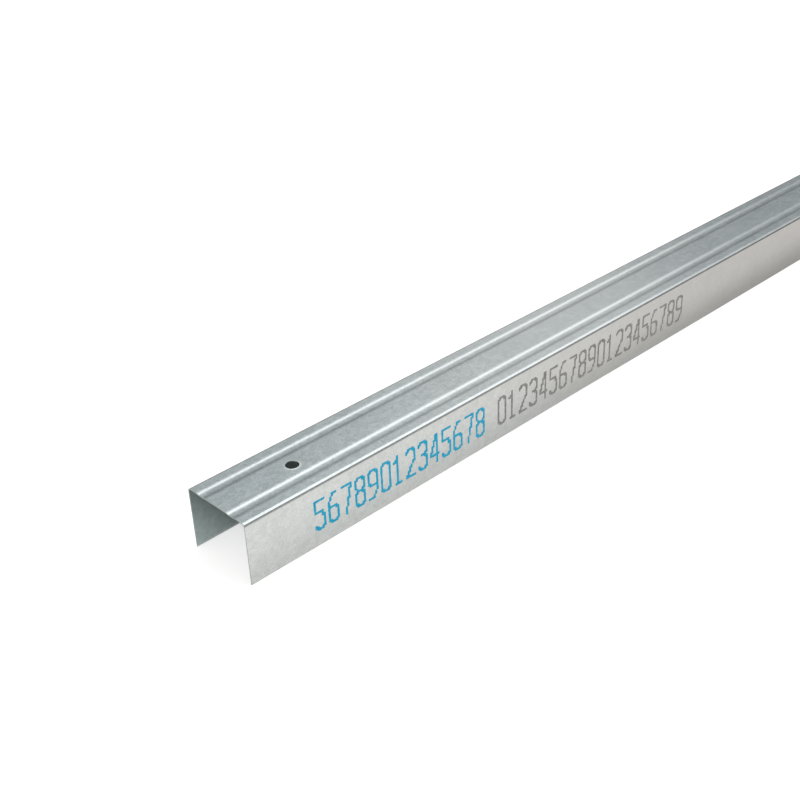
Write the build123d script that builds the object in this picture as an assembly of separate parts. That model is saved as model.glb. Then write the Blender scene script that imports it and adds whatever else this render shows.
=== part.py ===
from build123d import *
import math
import os

# A length of drywall track: galvanised sheet steel, roll-formed into a channel
# that carries the studs of a partition wall. It is one piece, and it lies as on
# a floor before it is turned over and fixed: web on top, standing on the edges
# of its two flanges.
#
# Frame, in millimetres: +X along the stock, +Y across it, +Z up. The origin is
# under the middle of the stock, on the surface that the flange edges stand on.

# The stock
track_length = 3000.0
web_width = 50.0  # over the outer faces of the two flanges
flange_height = 40.0  # from the flange edges to the web's outer face
sheet = 0.6
bend_radius = 1.4  # inside of the two long bends

# The two stiffening grooves, rolled into the web from outside. They are shallow
# and run softly into the web, with no sharp line along them.
groove_spacing = 26.3  # from the centre of one to the centre of the other
groove_floor = 3.0  # between the feet of its two walls, before they are rounded
groove_depth = 0.3
groove_wall_angle = 7.0  # degrees between a wall and the web

# The fixing holes, punched in line along the middle of the web
hole_diameter = 8.0
hole_pitch = 875.0
first_hole = 53.0  # from the end at -X to the centre of the first hole
least_end_distance = 20.0  # no hole is punched nearer to the other end than this

# Sizes that follow
groove_wall_run = groove_depth / math.tan(math.radians(groove_wall_angle))
groove_wall = groove_depth / math.sin(math.radians(groove_wall_angle))

# The bends at the foot and the rim of a groove's wall each take up nearly half of it
groove_bend_run = 0.45 * min(groove_wall, groove_floor)
groove_bend_radius = groove_bend_run / math.tan(math.radians(groove_wall_angle / 2))

hole_count = 1 + int((track_length - first_hole - least_end_distance) // hole_pitch)
hole_row_middle = -track_length / 2 + first_hole + (hole_count - 1) * hole_pitch / 2


def groove_corners(centre):
    """The four corners of one groove's outer face, as (across, up), from -Y to +Y."""
    foot = groove_floor / 2
    rim = foot + groove_wall_run
    floor_height = flange_height - groove_depth
    return [
        (centre - rim, flange_height),
        (centre - foot, floor_height),
        (centre + foot, floor_height),
        (centre + rim, flange_height),
    ]


def outer_face_line():
    """The outer face of the whole section, from one flange edge over the web to the other."""
    half = web_width / 2
    corners = [(-half, 0), (-half, flange_height)]
    corners += groove_corners(-groove_spacing / 2)
    corners += groove_corners(groove_spacing / 2)
    corners += [(half, flange_height), (half, 0)]

    # On the outer face, a bend that wraps round the sheet is larger by its thickness
    long_bend = bend_radius + sheet
    rim_bend = groove_bend_radius + sheet
    foot_bend = groove_bend_radius
    groove_bends = [rim_bend, foot_bend, foot_bend, rim_bend]
    return FilletPolyline(*corners, radius=[long_bend, *groove_bends, *groove_bends, long_bend])


def make_track():
    with BuildPart() as track:
        with BuildSketch(Plane.YZ):
            with BuildLine():
                outer_face_line()
                offset(amount=sheet, side=Side.RIGHT)
            make_face()
        extrude(amount=track_length / 2, both=True)
        with Locations((hole_row_middle, 0, flange_height)):
            with GridLocations(hole_pitch, hole_pitch, hole_count, 1):
                Hole(radius=hole_diameter / 2, depth=2 * sheet)
    return track.part


os.makedirs("parts", exist_ok=True)
track = make_track()
export_step(track, "parts/track.step")
print(f"track: {hole_count} holes, volume {track.volume:.1f} mm3, box {track.bounding_box().size}")
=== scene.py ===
# %% [markdown]
# # A length of drywall track
#
# Drywall track is the channel that a partition wall stands in. On the real object it is one
# strip of galvanised steel, 0.6 mm thick, that rollers fold into a U while they press two
# shallow grooves into its web. Here it lies open side down, on the edges of its flanges.
#
# The packed model comes first. It is exact, and it says where everything is, so the rest of
# this lesson only asks it for sizes. Its box is kept.

import math

import bpy
import numpy as np
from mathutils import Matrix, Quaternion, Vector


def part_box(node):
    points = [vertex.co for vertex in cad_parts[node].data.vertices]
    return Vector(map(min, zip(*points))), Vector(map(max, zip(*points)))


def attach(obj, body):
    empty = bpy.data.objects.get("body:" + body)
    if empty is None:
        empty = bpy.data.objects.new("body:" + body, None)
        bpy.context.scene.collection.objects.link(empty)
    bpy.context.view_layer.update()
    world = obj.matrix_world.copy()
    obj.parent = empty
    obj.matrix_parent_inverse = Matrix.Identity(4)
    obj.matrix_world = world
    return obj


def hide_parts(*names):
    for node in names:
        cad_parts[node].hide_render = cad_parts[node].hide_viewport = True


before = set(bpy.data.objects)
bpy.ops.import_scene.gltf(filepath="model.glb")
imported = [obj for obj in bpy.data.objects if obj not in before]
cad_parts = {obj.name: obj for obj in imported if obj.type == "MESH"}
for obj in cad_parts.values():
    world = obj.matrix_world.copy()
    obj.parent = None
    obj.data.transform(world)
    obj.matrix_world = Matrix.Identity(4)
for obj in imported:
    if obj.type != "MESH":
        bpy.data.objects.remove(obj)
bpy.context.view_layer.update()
low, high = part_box("track")
print("packed box", [round(v, 4) for v in (*low, *high)])

# %% [markdown]
# ## The camera
#
# The camera stands where the photographer's did. Its place was worked out from the straight
# edges of the track: the near end of the web is 50 mm wide and the near flange 40 mm high, and
# only one place and one lens show both at the size they have in the picture. It leans a
# little to one side, which is a turn about its own line of sight.

# %% Place the camera
LENS_MM = 53.82
SENSOR_MM = 36.0
CAMERA_FROM_NEAR_END = (-0.2801, -0.4493, 0.4064)  # along, across, up
LOOK_TURN = math.radians(42.868)  # of the line of sight, from across the track towards along it
LOOK_DOWN = math.radians(30.521)
LEAN = math.radians(-2.588)
SEES_UP_TO = 100.0  # metres, well past the floor's far edge


def turned_thrice(turn, tilt, lean):
    """Three plain turns, multiplied: about Z, about the turned X, and about the camera's own Z."""
    about_z = Quaternion((0, 0, 1), turn)
    about_x = Quaternion((1, 0, 0), tilt)
    about_sight = Quaternion((0, 0, 1), lean)
    return about_z @ about_x @ about_sight


def place_camera():
    """A camera looks straight down until it is turned: it leans, tilts up, and turns about Z."""
    data = bpy.data.cameras.new("camera")
    data.lens = LENS_MM
    data.sensor_width = SENSOR_MM
    data.clip_end = SEES_UP_TO
    camera = bpy.data.objects.new("camera", data)
    bpy.context.scene.collection.objects.link(camera)
    along, across, up = CAMERA_FROM_NEAR_END
    camera.location = (low.x + along, across, up)
    tilt = math.pi / 2 - LOOK_DOWN
    camera.rotation_mode = "QUATERNION"
    camera.rotation_quaternion = turned_thrice(-LOOK_TURN, tilt, LEAN)
    bpy.context.scene.camera = camera
    return camera


camera = place_camera()
print("camera at", [round(v, 3) for v in camera.location])

# %% [markdown]
# ## The section
#
# Every cut across the track shows the same line: up the near flange, over the web with its
# two grooves, and down the far flange. It could be drawn by hand, point by point. It is
# worked out instead, as a line with sharp corners whose corners are then rounded, because
# that is how the roller tools are drawn, and because each radius stays one number.

# %% The sizes of the section, in metres
SHEET = 0.0006
LONG_BEND = 0.0014  # inside radius of the two long bends
GROOVE_CENTRE = 0.01315  # each side of the middle
GROOVE_FLOOR = 0.0030
GROOVE_DEPTH = 0.0003
GROOVE_WALL_ANGLE = math.radians(7.0)
BEND_SHARE = 0.45  # of the groove's wall or floor, whichever is shorter, that each bend takes up
CUT_EDGE_ROUND = 0.00008  # how far the shears and slitters leave an edge rounded

half_web = high.y
web_top = high.z
groove_wall_run = GROOVE_DEPTH / math.tan(GROOVE_WALL_ANGLE)
groove_wall = GROOVE_DEPTH / math.sin(GROOVE_WALL_ANGLE)
groove_bend = BEND_SHARE * min(groove_wall, GROOVE_FLOOR) / math.tan(GROOVE_WALL_ANGLE / 2)
print("web", 2 * half_web, "flange", web_top, "groove bends", round(groove_bend, 4))

# %% Round the corners of the line
GUARD = 0.00012  # a narrow strip beside each bend keeps the flats flat in the shading
ARC_STEP = math.radians(8.0)
LEAST_STEPS = 4  # in the arc of any bend
ON_ARC = -1  # what a point on an arc has for the number of its run


def run_points(start, end, pieces):
    """Even steps from start to end, and a guard point close to each end."""
    length = np.linalg.norm(end - start)
    share = np.linspace(0.0, 1.0, pieces + 1)
    guards = np.array([GUARD / length, 1.0 - GUARD / length])
    share = np.sort(np.concatenate([share, guards]))
    return start + share[:, None] * (end - start)


def rounded_line(corners, radii, pieces):
    """A line through corners, each rounded by its radius, as points and their outward normals.

    A corner's arc starts radius * tan(half the turn) before it. Its centre is one radius from
    that start, square to the run, on the side that the line turns to. The outward side is on
    the left of the way that the line goes. Run k is cut into pieces[k] even steps. Each point
    also gets the number of its run, or ON_ARC."""
    corners = np.asarray(corners, float)
    runs = np.diff(corners, axis=0)
    ways = runs / np.linalg.norm(runs, axis=1, keepdims=True)
    turns = ways[:-1, 0] * ways[1:, 1] - ways[:-1, 1] * ways[1:, 0]
    angles = np.arcsin(turns)
    setback = np.abs(np.asarray(radii) * np.tan(angles / 2))
    points, normals, strips = [], [], []
    start = corners[0]
    for k, way in enumerate(ways):
        left = np.array([-way[1], way[0]])
        last = k == len(ways) - 1
        end = corners[k + 1] - (0.0 if last else setback[k]) * way
        run = run_points(start, end, pieces[k])
        points.append(run)
        normals.append(np.tile(left, (len(run), 1)))
        strips.append(np.full(len(run), k))
        if last:
            break
        side = np.sign(angles[k])
        centre = end + side * radii[k] * left
        steps = max(LEAST_STEPS, math.ceil(abs(angles[k]) / ARC_STEP))
        turned = np.linspace(0.0, angles[k], steps + 1)[1:-1]
        out = np.stack([
            left[0] * np.cos(turned) - left[1] * np.sin(turned),
            left[0] * np.sin(turned) + left[1] * np.cos(turned),
        ], axis=1)
        points.append(centre - side * radii[k] * out)
        normals.append(out)
        strips.append(np.full(len(out), ON_ARC))
        start = corners[k + 1] + setback[k] * ways[k + 1]
    return np.concatenate(points), np.concatenate(normals), np.concatenate(strips)


trial = rounded_line([(0, 0), (0, 1), (1, 1)], [0.5], [1, 1])[0]
print("a square corner, rounded, has", len(trial), "points")

# %% Draw the outer face of the section
FLANGE_PIECES = 9
SIDE_STRIP_PIECES = 2
GROOVE_PIECES = [1, 1, 1]  # wall, floor and wall
MIDDLE_PIECES = 14


def groove_corners(centre):
    """Rim, foot, foot and rim of one groove, as (across, up).

    A foot is half the floor from the groove's centre, and a rim one wall further out."""
    foot = GROOVE_FLOOR / 2
    rim = foot + groove_wall_run
    floor = web_top - GROOVE_DEPTH
    near_wall = [(centre - rim, web_top), (centre - foot, floor)]
    far_wall = [(centre + foot, floor), (centre + rim, web_top)]
    return near_wall + far_wall


def outer_face():
    """The whole outer face, from the near flange's edge to the far one's."""
    corners = [(-half_web, CUT_EDGE_ROUND), (-half_web, web_top)]
    corners += groove_corners(-GROOVE_CENTRE) + groove_corners(GROOVE_CENTRE)
    corners += [(half_web, web_top), (half_web, CUT_EDGE_ROUND)]
    rim = groove_bend + SHEET
    groove = [rim, groove_bend, groove_bend, rim]
    radii = [LONG_BEND + SHEET, *groove, *groove, LONG_BEND + SHEET]
    pieces = [FLANGE_PIECES, SIDE_STRIP_PIECES, *GROOVE_PIECES, MIDDLE_PIECES]
    pieces += [*GROOVE_PIECES, SIDE_STRIP_PIECES, FLANGE_PIECES]
    return rounded_line(corners, radii, pieces)


MIDDLE_RUN = 5  # the flat strip between the two grooves
face_line, face_normals, face_strips = outer_face()
middle = np.flatnonzero(face_strips == MIDDLE_RUN)
middle_across = face_line[middle, 0]
print("outer face", len(face_line), "points; middle strip", np.round(middle_across[[0, -1]], 5))

# %% [markdown]
# ## Along the track
#
# The section is carried along X. Cuts stand 15 mm apart, which is close enough for the gentle
# waves that rolled sheet always has. Round each fixing hole there is a square patch, and its
# cuts are as close as the points across the middle strip, so that the patch can be replaced
# by rings that close in on the hole and share every point of its border.

# %% Where the cuts stand
HOLE_RADIUS = 0.004
FIRST_HOLE = 0.053
HOLE_PITCH = 0.875
HOLE_COUNT = 4
CUT_SPACING = 0.015

hole_places = low.x + FIRST_HOLE + HOLE_PITCH * np.arange(HOLE_COUNT)


def cut_places():
    """The X of every cut: even steps between the patches, and the patch's own steps inside each."""
    parts = [np.array([low.x, low.x + CUT_EDGE_ROUND])]
    start = low.x + CUT_EDGE_ROUND
    stops = [*(hole_places + middle_across[0]), high.x - CUT_EDGE_ROUND]
    for k, stop in enumerate(stops):
        steps = math.ceil((stop - start) / CUT_SPACING)
        parts.append(np.linspace(start, stop, steps + 1)[1:])
        if k < HOLE_COUNT:
            parts.append(hole_places[k] + middle_across[1:])
            start = parts[-1][-1]
    parts.append(np.array([high.x]))
    return np.concatenate(parts)


cuts = cut_places()
print("cuts", len(cuts))

# %% The swept sheet, as arrays
EDGE_POINTS = 2  # across the sheet's thickness, at each flange's edge


def closed_section(drawn_in):
    """The outer face, the far edge, the inner face backwards and the near edge, as one loop.

    The inner face lies one sheet thickness behind the outer one, along its normal. drawn_in
    makes the whole loop smaller by that much on every side, for the rounding of a sheared end."""
    outer = face_line - drawn_in * face_normals
    inner = face_line - (SHEET - drawn_in) * face_normals
    outer[[0, -1], 1] += drawn_in
    inner[[0, -1], 1] += drawn_in
    inset = CUT_EDGE_ROUND + drawn_in
    edge = np.array([half_web - inset, half_web - SHEET + inset])
    height = np.full(EDGE_POINTS, drawn_in)
    far_edge = np.stack([edge, height], axis=1)
    near_edge = np.stack([-edge[::-1], height], axis=1)
    return np.concatenate([outer, far_edge, inner[::-1], near_edge])


def swept_points():
    """One closed section at every cut; the first and the last are drawn in."""
    full, small = closed_section(0.0), closed_section(CUT_EDGE_ROUND)
    drawn = np.zeros(len(cuts))
    drawn[[0, -1]] = 1.0
    ring = full + drawn[:, None, None] * (small - full)
    along = np.broadcast_to(cuts[:, None, None], (*ring.shape[:2], 1))
    return np.concatenate([along, ring], axis=2)


swept = swept_points()
print("swept grid", swept.shape)

# %% The faces of the swept sheet
def grid_faces(rows, columns):
    """The quads of a grid of points, row after row. The last column joins the first."""
    row = np.arange(rows - 1)[:, None]
    column = np.arange(columns)[None, :]
    after = (column + 1) % columns
    corners = [row * columns + column, row * columns + after,
               (row + 1) * columns + after, (row + 1) * columns + column]
    return np.stack(np.broadcast_arrays(*corners), axis=-1)


def inner_place(outer_place):
    """The place in a section's loop of the inner point that is behind an outer one.

    The inner face runs backwards and ends just before the points of the near edge."""
    last_inner = swept.shape[1] - 1 - EDGE_POINTS
    return last_inner - outer_place


def swept_faces():
    """All quads of the sweep but those under a hole's patch, and 1 for each on a flange's edge.

    The section runs up the near flange and the rows towards +X, so a quad's corners are taken
    the other way round, for it to face outwards."""
    rows, columns = swept.shape[:2]
    faces = grid_faces(rows, columns)[..., ::-1]
    keep = np.ones(faces.shape[:2], bool)
    centre = (cuts[:-1] + cuts[1:]) / 2
    reach = middle_across[-1]
    in_patch = (np.abs(centre[:, None] - hole_places) < reach).any(axis=1)
    keep[np.ix_(in_patch, middle[:-1])] = False
    keep[np.ix_(in_patch, inner_place(middle[1:]))] = False
    slit = np.zeros(faces.shape[:2])
    slit[:, [len(face_line), columns - EDGE_POINTS]] = 1.0
    return faces[keep], slit[keep]


def end_cap(first, flip):
    """The cut face at one end: quads from the outer line to the inner one, one at each flange edge.

    Unflipped they face towards -X."""
    count = len(face_line)
    columns = swept.shape[1]
    step = np.arange(count - 1)
    inner = inner_place(np.arange(count))
    caps = np.stack([step, step + 1, inner[1:], inner[:-1]], axis=1)
    far = np.array([[count - 1, count, count + 1, count + 2]])
    near = np.array([[columns - 1, 0, inner[0], columns - EDGE_POINTS]])
    caps = np.concatenate([caps, far, near])
    return first + (caps[:, ::-1] if flip else caps)


last_row = (len(cuts) - 1) * swept.shape[1]
long_faces, long_cut = swept_faces()
caps = np.concatenate([end_cap(0, False), end_cap(last_row, True)])
sheet_faces = np.concatenate([long_faces, caps])
sheet_cut = np.concatenate([long_cut, np.ones(len(caps))])
print("faces of the sheet", len(sheet_faces), "of which cut", int(sheet_cut.sum()))

# %% [markdown]
# ## The fixing holes
#
# A punch leaves more than a round hole. It drags the metal, so a low lip stands round the
# hole on the side it came out of, and that lip is what catches the light as a thin pale
# ring. Cutting the hole with a Boolean would leave the lip out. The patch is a grid instead:
# one parameter goes round the hole, the other from the square border in to the hole, down
# its wall and out again on the inner face.

# %% The rings of one hole
LIP_HEIGHT = 0.00006
LIP_WIDTH = 0.0006
RIM_ROUND = 0.00007  # how far the punch leaves the hole's rim rounded
RIM_WIDER = RIM_ROUND / 3  # how far the top of the wall stands back from the hole
WALL_TOP = 0.75 * LIP_HEIGHT  # above the web
WALL_FOOT = 0.7 * RIM_ROUND  # above the inner face

# The rings of the outer face: 0 is the hole and 1 the patch's border
RINGS_OUT = np.array([1.0, 0.62, 0.36, 0.22, 0.14, 0.085, 0.045, 0.018])


def square_border():
    """The patch's border, once round from its first corner, with the middle strip's own points."""
    side = middle_across
    least, most = np.full(len(side) - 1, side[0]), np.full(len(side) - 1, side[-1])
    x = np.concatenate([side[:-1], most, side[:0:-1], least])
    y = np.concatenate([least, side[:-1], most, side[:0:-1]])
    return np.stack([x, y], axis=1)


def lip(from_edge):
    """Height of the lip: a bell curve of the distance from the hole's edge."""
    return LIP_HEIGHT * np.exp(-((from_edge / LIP_WIDTH) ** 2))


def hole_patch():
    """Rings of one hole about its centre, as (ring, place round, xyz).

    A ring is a mix of the square border and the circle. On the outer face it is raised by the
    lip. The wall goes down from a slightly wider ring, which rounds the rim, and the inner face
    has the same rings the other way round."""
    border = square_border()
    angle = np.arctan2(border[:, 1], border[:, 0])
    circle = HOLE_RADIUS * np.stack([np.cos(angle), np.sin(angle)], axis=1)
    flat = circle + RINGS_OUT[:, None, None] * (border - circle)
    distance = np.linalg.norm(flat, axis=2) - HOLE_RADIUS
    height = np.where(RINGS_OUT[:, None] == 1.0, 0.0, lip(distance))
    outer = np.concatenate([flat, (web_top + height)[..., None]], axis=2)
    edge = circle * (1 + RIM_WIDER / HOLE_RADIUS)
    wall_top = np.full(len(angle), web_top + WALL_TOP)
    wall_foot = np.full(len(angle), web_top - SHEET + WALL_FOOT)
    wall = np.stack([np.column_stack([edge, wall_top]), np.column_stack([circle, wall_foot])])
    under = np.concatenate([flat[::-1], np.full((*flat.shape[:2], 1), web_top - SHEET)], axis=2)
    return np.concatenate([outer, wall, under])


patch = hole_patch()
patch_faces = grid_faces(*patch.shape[:2]).reshape(-1, 4)

# Punched are the bands from the last ring outside, down the wall, to the first ring inside
patch_cut = np.zeros((patch.shape[0] - 1, patch.shape[1]))
patch_cut[len(RINGS_OUT) - 1:len(RINGS_OUT) + 2] = 1.0
print("rings of a hole", patch.shape)

# %% [markdown]
# ## Waves
#
# Sheet that comes off a coil is never quite flat: the free edges of the flanges wander by a
# few tenths of a millimetre, and the web breathes a little less. The eye can't see such a
# wave by itself, but it bends every reflection. It is a sum of a few sine waves of unlike
# lengths, moves the outer and the inner face alike, and is nothing along the bends.

# %% Waves of the sheet
FLANGE_WAVE = 0.00025
WEB_WAVE = 0.00004
FLANGE_FROM = 0.9  # share of the half width beyond which the sheet counts as a flange
FLANGE_STEEPNESS = 20.0  # how fast it comes to count in full, to the half width
FLANGE_POWER = 1.5  # how much more a flange moves towards its edge
NEAR_TOP, FAR_TOP = 0.154, 0.045  # from the end at -X to the first top of each flange's wave
WEB_DEPTH = 0.2  # share of the height, from the top, that counts as the web
WAVE_LENGTHS = np.array([0.292, 0.61, 0.163, 0.094])
WAVE_WEIGHTS = np.array([1.0, 0.5, 0.3, 0.15])
WAVE_SHIFT = 0.37  # part of its length by which each wave is shifted more than the one before it


def wander(x, top):
    """A line that wanders between about -1 and 1, as a weighted sum of sines of unlike lengths.

    top is where the first sine has a top; each other one is shifted by a part of its length."""
    shifts = WAVE_SHIFT * np.arange(len(WAVE_LENGTHS))
    turns = np.asarray(x - top)[..., None] / WAVE_LENGTHS + shifts
    return (WAVE_WEIGHTS * np.cos(2 * np.pi * turns)).sum(axis=-1) / WAVE_WEIGHTS.sum()


def wave(points):
    """Points moved by the waves: a flange sideways, more towards its edge, and the web up and down."""
    x, y, z = np.moveaxis(points, -1, 0)
    below = np.clip((web_top - z) / web_top, 0.0, 1.0)
    side = np.sign(y) * np.clip((np.abs(y) / half_web - FLANGE_FROM) * FLANGE_STEEPNESS, 0.0, 1.0)
    wander_here = np.where(y < 0, wander(x, low.x + NEAR_TOP), wander(x, low.x + FAR_TOP))
    sideways = side * FLANGE_WAVE * below**FLANGE_POWER * wander_here
    across = np.clip(1.0 - (y / half_web) ** 2, 0.0, 1.0)
    upward = WEB_WAVE * across * wander(x, 0.0) * (below < WEB_DEPTH)
    return np.stack([x, y + sideways, z + upward], axis=-1)


PROBES = 200
foot_line = [np.linspace(low.x, high.x, PROBES), np.full(PROBES, -half_web), np.zeros(PROBES)]
probe = wave(np.stack(foot_line, axis=-1))
print("flange edge wanders by", round(float(np.ptp(probe[:, 1])) * 1000, 3), "mm")

# %% Put arrays into a mesh
STEPS_TO_A_METRE = 1e8  # points that round to the same step on every axis are one point


def make_mesh(name, points, faces, material=None):
    """An object at the origin from arrays of points and of faces."""
    mesh = bpy.data.meshes.new(name)
    mesh.from_pydata(points.reshape(-1, 3), [], faces.tolist())
    mesh.shade_smooth()
    mesh.update()
    piece = bpy.data.objects.new(name, mesh)
    bpy.context.scene.collection.objects.link(piece)
    if material:
        mesh.materials.append(material)
    return piece


def weld(points, faces):
    """Points at the same place become one. Places are compared to a hundredth of a micrometre."""
    keys = np.round(points * STEPS_TO_A_METRE).astype(np.int64)
    _, first, same = np.unique(keys, axis=0, return_index=True, return_inverse=True)
    return points[first], same.reshape(-1)[faces]


print("two points at one place weld to", len(weld(np.zeros((2, 3)), np.array([[0, 1]]))[0]))

# %% What the mesh carries
# The width of the paler ring round each hole
HOLE_RING_WIDTH = 0.0010
# Where the painted line of shade lies on the long bends, and how far it spreads
BEND_SHADE_TURN = 72.0  # degrees of the bend, counted from the web
BEND_SHADE_SPREAD = 19.0


def near_hole(points):
    """1 at a hole's edge on the outer face and a bell curve of the distance from it."""
    centres = np.stack([hole_places, np.zeros(HOLE_COUNT)], axis=1)
    from_centre = np.linalg.norm(points[:, None, :2] - centres, axis=2)
    distance = np.abs(from_centre - HOLE_RADIUS).min(axis=1)
    return np.exp(-((distance / HOLE_RING_WIDTH) ** 2)) * (points[:, 2] > web_top - SHEET / 3)


def painted_bend_shade(points):
    """Where shade is painted: 1 on the outer face of the long bends at the set turn, less either side.

    The turn is the angle of a point about the bend's own centre, counted from straight up."""
    outside = LONG_BEND + SHEET
    across = np.abs(points[:, 1]) - (half_web - outside)
    up = points[:, 2] - (web_top - outside)
    turn = np.degrees(np.arctan2(across, up))
    on_face = (np.hypot(across, up) > outside - SHEET / 2) & (across > 0) & (up > 0)
    return np.exp(-(((turn - BEND_SHADE_TURN) / BEND_SHADE_SPREAD) ** 2)) * on_face


rim = np.array([[hole_places[0] + HOLE_RADIUS, 0.0, web_top]])
print("at a hole's edge: rubbed", near_hole(rim), "crease", painted_bend_shade(rim))

# %% The whole sheet
HARD_EDGE = math.radians(32.0)


def build_track():
    """The swept sheet and the four patches, welded, waved and shaded with its hard edges kept.

    Three attributes go with it: cut is 1 on sheared and punched faces, a second is 1 round a hole,
    where the zinc is made paler, and a third is 1 along the long bends, where shade is painted."""
    points, faces, cut = [swept.reshape(-1, 3)], [sheet_faces], [sheet_cut]
    count = len(points[0])
    for place in hole_places:
        moved = patch + np.array([place, 0.0, 0.0])
        points.append(moved.reshape(-1, 3))
        faces.append(patch_faces + count)
        cut.append(patch_cut.reshape(-1))
        count += len(points[-1])
    points, faces = weld(np.concatenate(points), np.concatenate(faces))
    track = make_mesh("track_steel", wave(points), faces)
    mesh = track.data
    mesh.set_sharp_from_angle(angle=HARD_EDGE)
    mesh.attributes.new("cut", "FLOAT", "FACE").data.foreach_set("value", np.concatenate(cut))
    mesh.attributes.new("rubbed", "FLOAT", "POINT").data.foreach_set("value", near_hole(points))
    # A third number marks where a line of shade is painted along the long bends
    mesh.attributes.new("crease", "FLOAT", "POINT").data.foreach_set("value", painted_bend_shade(points))
    return track


track = build_track()
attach(track, "root")
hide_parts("track")
print("track:", len(track.data.vertices), "points,", len(track.data.polygons), "faces")

# %% [markdown]
# ## Expressions for shaders
#
# A shader tree is arithmetic on maps. Its nodes could be wired one by one, but then the formula
# is lost among the links, so it is written as arithmetic. One class holds a socket: adding or
# multiplying two of them adds a Math node. A second one holds the tree and adds any other node.

# %% A value that varies
class Map:
    """A value that varies over a surface: one output of a shader node."""

    def __init__(self, recipe, socket):
        self.recipe = recipe
        self.socket = socket

    def math(self, operation, first, second=0.0):
        """A Math node of this operation on two numbers or maps."""
        return self.recipe.add("ShaderNodeMath", {"operation": operation}, [first, second])

    def __add__(self, other):
        return self.math("ADD", self, other)

    def __sub__(self, other):
        return self.math("SUBTRACT", self, other)

    def __rsub__(self, other):
        return self.math("SUBTRACT", other, self)

    def __mul__(self, other):
        return self.math("MULTIPLY", self, other)

    def __truediv__(self, other):
        return self.math("DIVIDE", self, other)

    __radd__ = __add__
    __rmul__ = __mul__

    def size(self):
        """The number without its sign."""
        return self.math("ABSOLUTE", self)

    def spans(self, start, end):
        """start where this is 0 and end where it is 1, for numbers."""
        return start + (end - start) * self

    def swing(self, share):
        """A pattern about nothing: share times what it has above or below one half."""
        return share * (self - 0.5)

    def between(self, start, end):
        """0 at start, 1 at end, and a smooth rise from one to the other."""
        settings = {"interpolation_type": "SMOOTHSTEP"}
        return self.recipe.add("ShaderNodeMapRange", settings, {"Value": self, 1: start, 2: end})

    def part(self, name):
        """Another output of the same node."""
        return Map(self.recipe, self.socket.node.outputs[name])


print("beside + - * and / a map has", [name for name in vars(Map) if name[0] != "_"])

# %% A shader tree
class Recipe:
    """A shader tree that is being written."""

    def __init__(self, owner):
        owner.use_nodes = True
        self.tree = owner.node_tree
        self.tree.nodes.clear()

    def add(self, kind, settings=None, sockets=(), output=0):
        """A node of this kind: its settings first, then the values or maps of its sockets."""
        node = self.tree.nodes.new(kind)
        for name, value in (settings or {}).items():
            if name == "stops":
                self.set_stops(node.color_ramp, value)
            else:
                setattr(node, name, value)
        pairs = sockets.items() if isinstance(sockets, dict) else enumerate(sockets)
        for key, value in pairs:
            if isinstance(value, Map):
                self.tree.links.new(value.socket, node.inputs[key])
            else:
                node.inputs[key].default_value = value
        return Map(self, node.outputs[output]) if node.outputs else None

    @staticmethod
    def set_stops(ramp, stops):
        """Stops of a colour ramp, as {place: grey level}."""
        while len(ramp.elements) < len(stops):
            ramp.elements.new(0.5)
        for element, (place, level) in zip(ramp.elements, stops.items()):
            element.position = place
            element.color = (level, level, level, 1.0)

    def place(self):
        """Places on the piece itself, which is where its patterns stay."""
        return self.add("ShaderNodeTexCoord").part("Object")

    def split(self, place):
        """The X of a place or a direction, whose parts Y and Z are the other two."""
        return self.add("ShaderNodeSeparateXYZ", None, [place])

    def rays(self):
        """1 for what the camera sees, also through glass, and 1 for what is mirrored."""
        ray = self.add("ShaderNodeLightPath")
        return ray.part("Is Camera Ray") + ray.part("Is Transmission Ray"), ray.part("Is Glossy Ray")

    def blend(self, share, first, second):
        """first where share is 0 and second where it is 1, for colours."""
        sockets = {0: share, 6: first, 7: second}
        return self.add("ShaderNodeMix", {"data_type": "RGBA"}, sockets, output=2)

    def noise(self, place, scale, detail, roughness):
        """Soft random lights and darks about one half, scale of them to the metre."""
        sockets = {"Vector": place, "Scale": scale, "Detail": detail, "Roughness": roughness}
        return self.add("ShaderNodeTexNoise", None, sockets)

    def stretched(self, place, by):
        """Places multiplied along each axis: a pattern on them is drawn out where by is small."""
        return self.add("ShaderNodeVectorMath", {"operation": "MULTIPLY"}, [place, by])

    def kept(self, name):
        """A number that the mesh carries under this name."""
        return self.add("ShaderNodeAttribute", {"attribute_name": name}).part("Fac")

    def bump(self, height, strength, distance):
        """Normals tilted as the slope of height times distance would tilt them, by strength."""
        sockets = {"Height": height, "Strength": strength, "Distance": distance}
        return self.add("ShaderNodeBump", None, sockets)

    def finish(self, sockets):
        """The Principled shader with these sockets, on the material's output."""
        surface = self.add("ShaderNodeBsdfPrincipled", None, sockets)
        self.add("ShaderNodeOutputMaterial", None, {"Surface": surface})


print("a recipe can", [name for name in vars(Recipe) if name[0] != "_"])

# %% [markdown]
# ## Galvanised steel
#
# The zinc on track is thin and fine-grained. From arm's length it is an even, silky grey.
# Nearer, it has a mottled grain of a millimetre or two, soft cloudy patches as long as a
# finger, and faint lines across the strip where the rollers have chattered. It is a metal
# with a slightly blurred reflection, so almost all of its light and dark comes from what it
# mirrors, and the patterns only stir that: strong ones would look painted. They could be
# brushed on by hand, but noise on the piece's own places does it evenly over three metres.
# They are liveliest at this end of the stock and calm down to half a little further along.
#
# Three places differ. Along the outside of the long bends a thin dark line of shade is painted
# into the zinc's colour, between web and flange. Round the holes the zinc is made paler and rougher.
# The sheared and punched edges are bare steel. The mesh carries a number for each of them.

# %% The colours of the zinc
ZINC_DARK = (0.575, 0.63, 0.64, 1.0)
ZINC_PALE = (0.775, 0.83, 0.835, 1.0)
# The colour of the painted shade along the long bends
BEND_SHADE_COLOUR = (0.26, 0.27, 0.268, 1.0)
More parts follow.
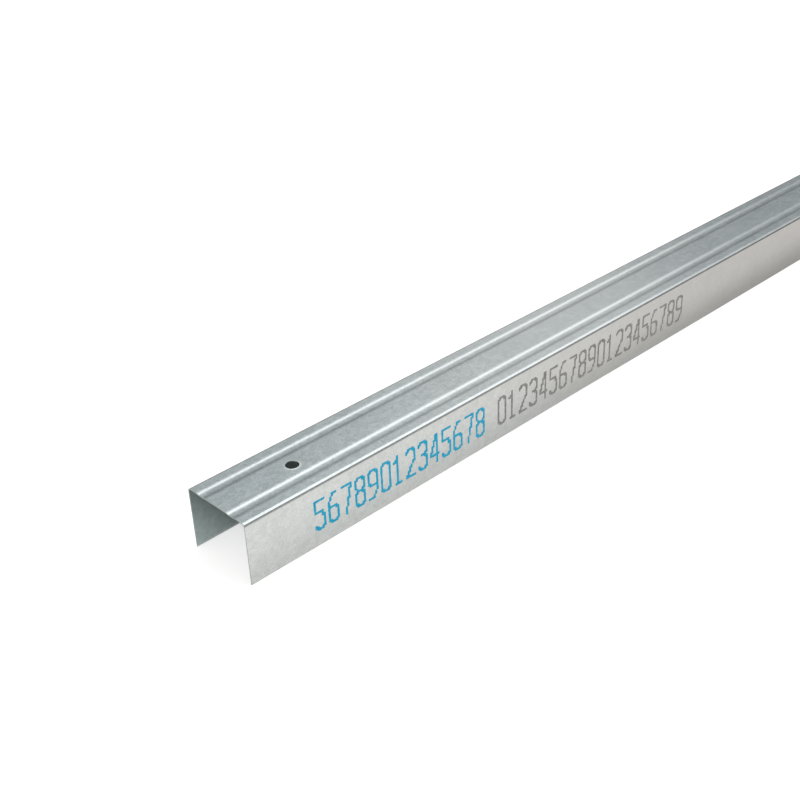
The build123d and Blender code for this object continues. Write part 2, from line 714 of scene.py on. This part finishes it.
# Paler zinc in a ring round each hole
HOLE_RING_ZINC = (0.86, 0.88, 0.87, 1.0)
CUT_STEEL = (0.33, 0.355, 0.355, 1.0)
ZINC_ROUGH = 0.225
HOLE_RING_ROUGHER = 0.16
CUT_ROUGHER = 0.2
print("zinc from", ZINC_DARK[:3], "to", ZINC_PALE[:3])

# %% The zinc finish
GRAIN_NOISE = (800.0, 3.0, 0.65)  # how many to the metre, octaves of detail, their weight
CLOUD_NOISE = (45.0, 3.0, 0.55)
CHATTER_NOISE = (300.0, 2.0, 0.5)
FLAKES = 330.0  # to the metre
CHATTER_STRETCH = (1.0, 0.06, 0.06)  # drawn out across the strip
CALM_FROM, CALM_TO = 0.16, 0.28  # from the end at -X, where the zinc's patterns grow fainter
CALM_SHARE = 0.5  # what is left of them
GRAIN_TONE, FLAKE_TONE, CLOUD_TONE, CHATTER_TONE = 1.5, 0.35, 0.4, 0.1  # swings of the tone
GRAIN_ROUGH, FLAKE_ROUGH, CLOUD_ROUGH = 0.06, 0.03, 0.05  # swings of the roughness
GRAIN_RELIEF, FLAKE_RELIEF, CHATTER_RELIEF = 0.6, 0.2, 0.2  # shares of the relief
ZINC_RELIEF = (0.08, 0.00006)  # its strength and its depth
BEND_SHADE_COVERS, HOLE_RING_COVERS = 0.88, 0.65  # how much of the zinc's colour they hide


def zinc_patterns(recipe):
    """Grain, flakes of even tone, clouds, and lines across the strip, each about one half.

    The last number is how strong they are, which falls smoothly to CALM_SHARE along the stock."""
    place = recipe.place()
    along = recipe.split(place)
    strength = along.between(low.x + CALM_FROM, low.x + CALM_TO).spans(1.0, CALM_SHARE)
    grain = recipe.noise(place, *GRAIN_NOISE)
    cells = recipe.add("ShaderNodeTexVoronoi", None, {"Vector": place, "Scale": FLAKES})
    flake = recipe.add("ShaderNodeSeparateColor", None, [cells.part("Color")])
    clouds = recipe.noise(place, *CLOUD_NOISE)
    chatter = recipe.noise(recipe.stretched(place, CHATTER_STRETCH), *CHATTER_NOISE)
    return grain, flake, clouds, chatter, strength


def galvanised(name):
    """Tone is one half plus strength times the patterns' swings, and blends dark zinc with pale.

    The painted shade along the bends, the paler ring round the holes and the cut places are blended
    over it. Roughness swings with the patterns too, and the relief is a sum of shares of them."""
    material = bpy.data.materials.new(name)
    recipe = Recipe(material)
    grain, flake, clouds, chatter, strength = zinc_patterns(recipe)
    crease, rubbed, cut = recipe.kept("crease"), recipe.kept("rubbed"), recipe.kept("cut")
    swings = grain.swing(GRAIN_TONE) + flake.swing(FLAKE_TONE)
    swings = swings + clouds.swing(CLOUD_TONE) + chatter.swing(CHATTER_TONE)
    tone = 0.5 + strength * swings
    zinc = recipe.blend(tone, ZINC_DARK, ZINC_PALE)
    # Painted shade: a thin dark line along the outside of the long bends
    zinc = recipe.blend(BEND_SHADE_COVERS * crease, zinc, BEND_SHADE_COLOUR)
    # A paler, rougher ring round each hole
    zinc = recipe.blend(HOLE_RING_COVERS * rubbed, zinc, HOLE_RING_ZINC)
    colour = recipe.blend(cut, zinc, CUT_STEEL)
    rough = ZINC_ROUGH + grain.swing(GRAIN_ROUGH) + flake.swing(FLAKE_ROUGH)
    rough = rough + clouds.swing(CLOUD_ROUGH) + HOLE_RING_ROUGHER * rubbed + CUT_ROUGHER * cut
    height = GRAIN_RELIEF * grain + FLAKE_RELIEF * flake + CHATTER_RELIEF * chatter
    relief = recipe.bump(height, *ZINC_RELIEF)
    recipe.finish({"Base Color": colour, "Roughness": rough, "Metallic": 1.0, "Normal": relief})
    return material


track.data.materials.append(galvanised("galvanised_steel"))
print("finish:", track.data.materials[0].name)

# %% [markdown]
# ## Length marks
#
# An ink-jet head prints on the near flange while the stock runs past it, drop by drop in a
# fixed grid, blue for a first stretch and grey after it. What it prints here is a plain
# scale: one digit for each centimetre from the end, the last digit of the distance. Each
# digit is a few strokes in a box. Drops are set along the strokes and pulled onto the head's
# grid, which gives the stepped slants of such print. A texture could draw them too, but real
# drops also stand in the mesh and catch a little light.

# %% Digits as strokes in a box of width 1 and height 1
FOOT_BOWL = [(0, 0.14), (0.25, 0), (0.75, 0), (1, 0.14)]
ROUND = [*FOOT_BOWL, (1, 0.86), (0.75, 1), (0.25, 1), (0, 0.86), (0, 0.14)]
SIX = [(0.9, 1), (0.45, 1), (0, 0.7), *FOOT_BOWL, (1, 0.42), (0.75, 0.55), (0, 0.55)]
UPPER_BOWL = [(0, 0.85), (0.25, 1), (0.75, 1), (1, 0.86), (1, 0.68), (0.75, 0.54), (0.3, 0.54)]
LOWER_BOWL = [(0.75, 0.54), (1, 0.4), (1, 0.14), (0.75, 0), (0.25, 0), (0, 0.15)]
DIGITS = {
    "0": [ROUND],
    "1": [[(0.1, 0.8), (0.5, 1), (0.5, 0)], [(0.15, 0), (0.85, 0)]],
    "2": [[(0, 0.85), (0.25, 1), (0.75, 1), (1, 0.86), (1, 0.62), (0, 0), (1, 0)]],
    "3": [UPPER_BOWL, LOWER_BOWL],
    "4": [[(0.7, 0), (0.7, 1), (0, 0.3), (1, 0.3)]],
    "5": [[(1, 1), (0, 1), (0, 0.57), (0.75, 0.57), (1, 0.42), (1, 0.14), (0.75, 0), (0.25, 0),
           (0, 0.12)]],
    "6": [SIX],
    "7": [[(0, 1), (1, 1), (0.35, 0)]],
    "8": [UPPER_BOWL + [(0, 0.68), (0, 0.85)], LOWER_BOWL + [(0, 0.4), (0.25, 0.54), (0.75, 0.54)]],
    "9": [[(1 - across, 1 - up) for across, up in SIX]],
}
DROPS_WIDE, DROPS_HIGH = 6, 16
SAMPLES = 80  # for each corner of a stroke, which is closer than the drops stand


def digit_drops(strokes):
    """Drops of one digit on the head's grid: the strokes are sampled closely and rounded to it."""
    drops = []
    for stroke in strokes:
        corners = np.array(stroke) * (DROPS_WIDE - 1, DROPS_HIGH - 1)
        share = np.linspace(0, len(corners) - 1, SAMPLES * len(corners))
        line = [np.interp(share, np.arange(len(corners)), corners[:, axis]) for axis in (0, 1)]
        drops.append(np.rint(np.stack(line, axis=1)))
    return np.unique(np.concatenate(drops), axis=0)


print({digit: len(digit_drops(strokes)) for digit, strokes in DIGITS.items()})

# %% Where the drops fall
DROP_PITCH = (0.0013, 0.00125)  # along, up
PRINT_FOOT = 0.0106


def digit_place(centimetre):
    """Drops of the last digit of this distance, with its middle at the distance itself."""
    middle = low.x + centimetre / 100
    left = middle - (DROPS_WIDE - 1) * DROP_PITCH[0] / 2
    digit = str(centimetre % 10)
    return (left, PRINT_FOOT) + digit_drops(DIGITS[digit]) * DROP_PITCH


print("drops of the digit at 26 cm:", len(digit_place(26)))

# %% One drop, and many
DROP_RADIUS = 0.00094
DROP_SIDES = 8
DROP_RINGS = [(1.0, -0.00006), (1.0, 0.000008), (0.72, 0.000022)]  # share of the radius, height
DROP_TOP = 0.000026
DROP_VARIES = 0.08  # standard deviation of a drop's size


def drop_shape():
    """A low closed cap as (across, up, out): rings of a circle, and a point amid each end."""
    turn = 2 * np.pi * np.arange(DROP_SIDES) / DROP_SIDES
    circle = DROP_RADIUS * np.stack([np.cos(turn), np.sin(turn)], axis=1)
    rings = [np.column_stack([share * circle, np.full(DROP_SIDES, out)]) for share, out in DROP_RINGS]
    ends = np.array([[0.0, 0.0, DROP_RINGS[0][1]], [0.0, 0.0, DROP_TOP]])
    return np.concatenate([*rings, ends])


def drop_faces():
    """Triangles of one drop: two for each side of each band, and a fan at each end."""
    rings = len(DROP_RINGS)
    bands = grid_faces(rings, DROP_SIDES).reshape(-1, 4)
    side = np.arange(DROP_SIDES)
    after = (side + 1) % DROP_SIDES
    foot, top = rings * DROP_SIDES, rings * DROP_SIDES + 1
    last = (rings - 1) * DROP_SIDES
    foot_fan = np.stack([after, side, np.full(DROP_SIDES, foot)], axis=1)
    top_fan = np.stack([last + side, last + after, np.full(DROP_SIDES, top)], axis=1)
    return np.concatenate([bands[:, [0, 1, 2]], bands[:, [0, 2, 3]], foot_fan, top_fan])


def print_marks(name, centimetres, material):
    """All drops of these digits on the near flange's outer face, as one piece.

    A drop is the shape times its own size, moved to its place and then with the flange's wave."""
    centres = np.concatenate([digit_place(centimetre) for centimetre in centimetres])
    shape, faces = drop_shape(), drop_faces()
    size = 1.0 + DROP_VARIES * np.random.default_rng(len(centimetres)).standard_normal(len(centres))
    drops = shape * size[:, None, None]
    across = centres[:, None, 0] + drops[..., 0]
    up = centres[:, None, 1] + drops[..., 1]
    out = -half_web - drops[..., 2]
    points = wave(np.stack([across, out, up], axis=-1))
    shifted = faces[None] + len(shape) * np.arange(len(centres))[:, None, None]
    marks = make_mesh(name, points, shifted.reshape(-1, 3), material)
    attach(marks, "root")
    print(name, len(centres), "drops,", len(marks.data.polygons), "triangles")


print("one drop:", len(drop_shape()), "points,", len(drop_faces()), "triangles")

# %% [markdown]
# ## Ink
#
# The ink is a thin film that has soaked into nothing, so it is a little glossier than paint
# and lets the grain of the zinc show as faint lights and darks. One flat colour would look
# like a sticker, so a fine noise blends each ink with a thinner tone of itself.

# %% The two inks
BLUE = (0.006, 0.47, 0.76, 1.0)
BLUE_THIN = (0.03, 0.56, 0.82, 1.0)
GREY = (0.28, 0.28, 0.27, 1.0)
GREY_THIN = (0.43, 0.43, 0.415, 1.0)
INK_NOISE = (700.0, 2.0, 0.6)  # as for the zinc
THIN_FROM, THIN_TO = 0.35, 0.75  # the noise's levels from full ink to thin ink
INK_ROUGH, THIN_ROUGHER = 0.35, 0.2
INK_RELIEF = (0.15, 0.00003)  # its strength and its depth
INK_SPECULAR = 0.25


def ink(name, full, thin):
    """Fine noise blends the full tone with the thin one and makes the film rougher where it is thin."""
    material = bpy.data.materials.new(name)
    recipe = Recipe(material)
    patches = recipe.noise(recipe.place(), *INK_NOISE)
    colour = recipe.blend(patches.between(THIN_FROM, THIN_TO), full, thin)
    rough = INK_ROUGH + THIN_ROUGHER * patches
    relief = recipe.bump(patches, *INK_RELIEF)
    sockets = {"Base Color": colour, "Roughness": rough, "Normal": relief}
    recipe.finish({**sockets, "Specular IOR Level": INK_SPECULAR})
    return material


print_marks("marks_blue", range(5, 19), ink("blue_ink", BLUE, BLUE_THIN))
print_marks("marks_grey", range(20, 40), ink("grey_ink", GREY, GREY_THIN))

# %% [markdown]
# ## Floor
#
# The track lies on a plain pale floor: matt paint that takes the shadow, with a glow added for
# what the camera sees and for what the metal mirrors, so that both show it white. Lamps and
# blockers could shape what is mirrored, as in a studio. Masks on the floor's own places are
# simpler, and they stay where they are when the camera moves. The near flange mirrors the floor
# in front of it, which dims along the track and at the track's foot. The far flange's inside
# mirrors the floor in the channel's mouth, and further in no light reaches it.

# %% The floor's paint and glow
FLOOR_SIZE = 24.0
WHITE, BLACK = (1.0, 1.0, 1.0, 1.0), (0.0, 0.0, 0.0, 1.0)
FLOOR_PAINT = (0.70, 0.70, 0.70, 1.0)
SEEN_GLOW = 0.64
MIRRORED_PAINT = 0.45
MIRRORED_GLOW = (0.615, 0.38)  # beside the near end, and further along
FOOT_SHADE = (0.22, 0.62)  # the part of that glow that is lost at the track's foot, at both places
MIRRORED_NEAR = (0.99, 0.945, 0.905, 1.0)
MIRRORED_FAR = (1.0, 0.905, 0.86, 1.0)
MIRRORED_INSIDE = (0.90, 1.0, 0.96, 1.0)

# Where the masks rise from 0 to 1
BESIDE = (half_web - 0.003, half_web + 0.001)  # across, at the track's foot
AWAY = (half_web, half_web + 0.03)  # across, outside it
DEEP = (0.025, 0.045)  # from the mouth inwards
MOUTH, INSIDE = (-0.03, 0.016), (0.008, 0.042)  # from the mouth inwards
SHUT_AT_MOUTH, SHUT_INSIDE = 0.52, 0.42  # what each of these two takes from the light
FAR_ALONG = (low.x + 0.02, low.x + 0.60)


def floor_masks(recipe):
    """Masks by place: under the track, deep under it, shut in by it, far along it, close to it.

    Each is a smooth step of the distance from the track's middle line, from its nearer end, or
    along it. A place under the track is shut in by half at the mouth, and by nearly all inside."""
    along = recipe.split(recipe.place())
    across = along.part("Y").size()
    from_mouth = high.x - along.size()
    under = 1 - across.between(*BESIDE)
    deep = under * from_mouth.between(*DEEP)
    shut_in = SHUT_AT_MOUTH * from_mouth.between(*MOUTH) + SHUT_INSIDE * from_mouth.between(*INSIDE)
    far = along.between(*FAR_ALONG)
    close = 1 - across.between(*AWAY)
    return under, deep, under * shut_in, far, close


print("track's foot", half_web, "m from the middle line, ends at", round(low.x, 4), round(high.x, 4))

# %% The floor
def floor_white(name):
    """Paint plus glow. The glow is what the camera sees times one level, less what is deep under
    the track, plus what the metal mirrors times a level that falls along the track."""
    material = bpy.data.materials.new(name)
    recipe = Recipe(material)
    under, deep, shut_in, far, close = floor_masks(recipe)
    seen, mirrored = recipe.rays()
    mirrored_glow = far.spans(*MIRRORED_GLOW) * (1 - far.spans(*FOOT_SHADE) * close) * (1 - shut_in)
    glow = SEEN_GLOW * seen * (1 - deep) + mirrored * mirrored_glow
    tint = recipe.blend(under, recipe.blend(far, MIRRORED_NEAR, MIRRORED_FAR), MIRRORED_INSIDE)
    dim_tint = recipe.blend(MIRRORED_PAINT, BLACK, tint)
    paint = {"Color": recipe.blend(mirrored, FLOOR_PAINT, dim_tint)}
    light = {"Color": recipe.blend(mirrored, WHITE, tint), "Strength": glow}
    matt = recipe.add("ShaderNodeBsdfDiffuse", None, paint)
    shine = recipe.add("ShaderNodeEmission", None, light)
    both = recipe.add("ShaderNodeAddShader", None, [matt, shine])
    recipe.add("ShaderNodeOutputMaterial", None, {"Surface": both})
    return material


def make_floor():
    """A square about the track's middle, from four corners half its size away."""
    sides = np.array([(-1, -1, 0), (1, -1, 0), (1, 1, 0), (-1, 1, 0)])
    corners = sides * FLOOR_SIZE / 2
    floor = make_mesh("floor", corners, np.array([[0, 1, 2, 3]]), floor_white("floor_white"))


make_floor()
print("floor", FLOOR_SIZE, "m")

# %% [markdown]
# ## Light
#
# Bare metal shows whatever stands round it, so the light is built as surroundings and not as
# lamps. They are those of a long soft ceiling panel, whose edge runs along the track: the web
# mirrors the dimmer part beyond the panel, the walls of the grooves and the near bend are
# tilted just enough to mirror the panel itself, and the near flange mirrors the floor. That
# holds for the directions that the track mirrors in this picture. In the others the light is
# nearly plain, so that the part also looks right from its ends, from above and from behind.

# %% What stands round the track
AROUND = {  # brightness by the angle about the track's line, from the far horizon to the near one
    0.0: 0.22,
    20.0: 0.23,
    25.0: 0.27,
    31.0: 0.53,
    38.0: 0.565,
    47.0: 0.60,
    52.0: 2.05,
    57.0: 2.05,
    64.0: 0.95,
    82.0: 1.6,
    126.0: 1.6,
    136.0: 1.2,
    147.0: 0.22,
    168.0: 0.22,
    174.0: 1.9,
    180.0: 2.25,
}
DIM_ALONG = (0.83, 1.10)  # factor of the dim parts, behind and further along
PANEL_ALONG = (0.95, 0.83)  # factor of the panel, at the same two places
DIMMER_AT_END = 0.56  # taken off both where the panel ends
PLAIN_LEVEL = 0.55
PLAIN_SHARE = 0.18
PANEL_LEVELS = (0.6, 2.0)  # from the dim parts to the panel

# These four are the X of a direction, which is how far along the track it points
FURTHER_ALONG = (0.44, 0.70)
PANEL_END = (0.72, 0.79)
SHAPED_FROM = (0.12, 0.36)
SHAPED_UNTIL = (0.86, 0.96)

COOL = (0.94, 1.0, 1.015, 1.0)
WARM = (1.025, 1.0, 0.995, 1.0)
print("panel", AROUND[52.0], "against", AROUND[38.0], "beyond it")

# %% The light
def level_around(recipe, along):
    """The level of AROUND at a direction's angle about X, which is the arc tangent of Z over Y."""
    angle = recipe.add("ShaderNodeMath", {"operation": "ARCTAN2"}, [along.part("Z"), along.part("Y")])
    most = max(AROUND.values())
    stops = {degrees / 180.0: level / most for degrees, level in AROUND.items()}
    ramp = recipe.add("ShaderNodeValToRGB", {"stops": stops}, [angle / math.pi])
    return most * recipe.add("ShaderNodeSeparateColor", None, [ramp])


def make_light():
    """Level times a factor along the track where the picture mirrors it, and elsewhere a plain level.

    The plain level has a share of the other in it. The dim parts are cool at both ends of the
    panel, and the rest is a little warm."""
    world = bpy.data.worlds.new("studio")
    bpy.context.scene.world = world
    recipe = Recipe(world)
    along = recipe.split(recipe.add("ShaderNodeTexCoord").part("Generated"))
    level = level_around(recipe, along)
    bright = level.between(*PANEL_LEVELS)
    further, last = along.between(*FURTHER_ALONG), along.between(*PANEL_END)
    factor = further.spans(*DIM_ALONG) * (1 - bright) + further.spans(*PANEL_ALONG) * bright
    shaped = level * (factor - DIMMER_AT_END * last)
    plain = PLAIN_LEVEL + PLAIN_SHARE * level
    there = along.between(*SHAPED_FROM) * (1 - along.between(*SHAPED_UNTIL))
    around = plain + (shaped - plain) * there
    seen, _ = recipe.rays()
    cool = there * (1 - further + last) * (1 - bright)
    colour = recipe.blend(seen, recipe.blend(cool, WARM, COOL), WHITE)
    glow = {"Color": colour, "Strength": seen + (1 - seen) * around}
    background = recipe.add("ShaderNodeBackground", None, glow)
    recipe.add("ShaderNodeOutputWorld", None, {"Surface": background})


make_light()
bpy.context.scene.view_settings.view_transform = "Standard"
print("light:", bpy.context.scene.world.name)

# %% [markdown]
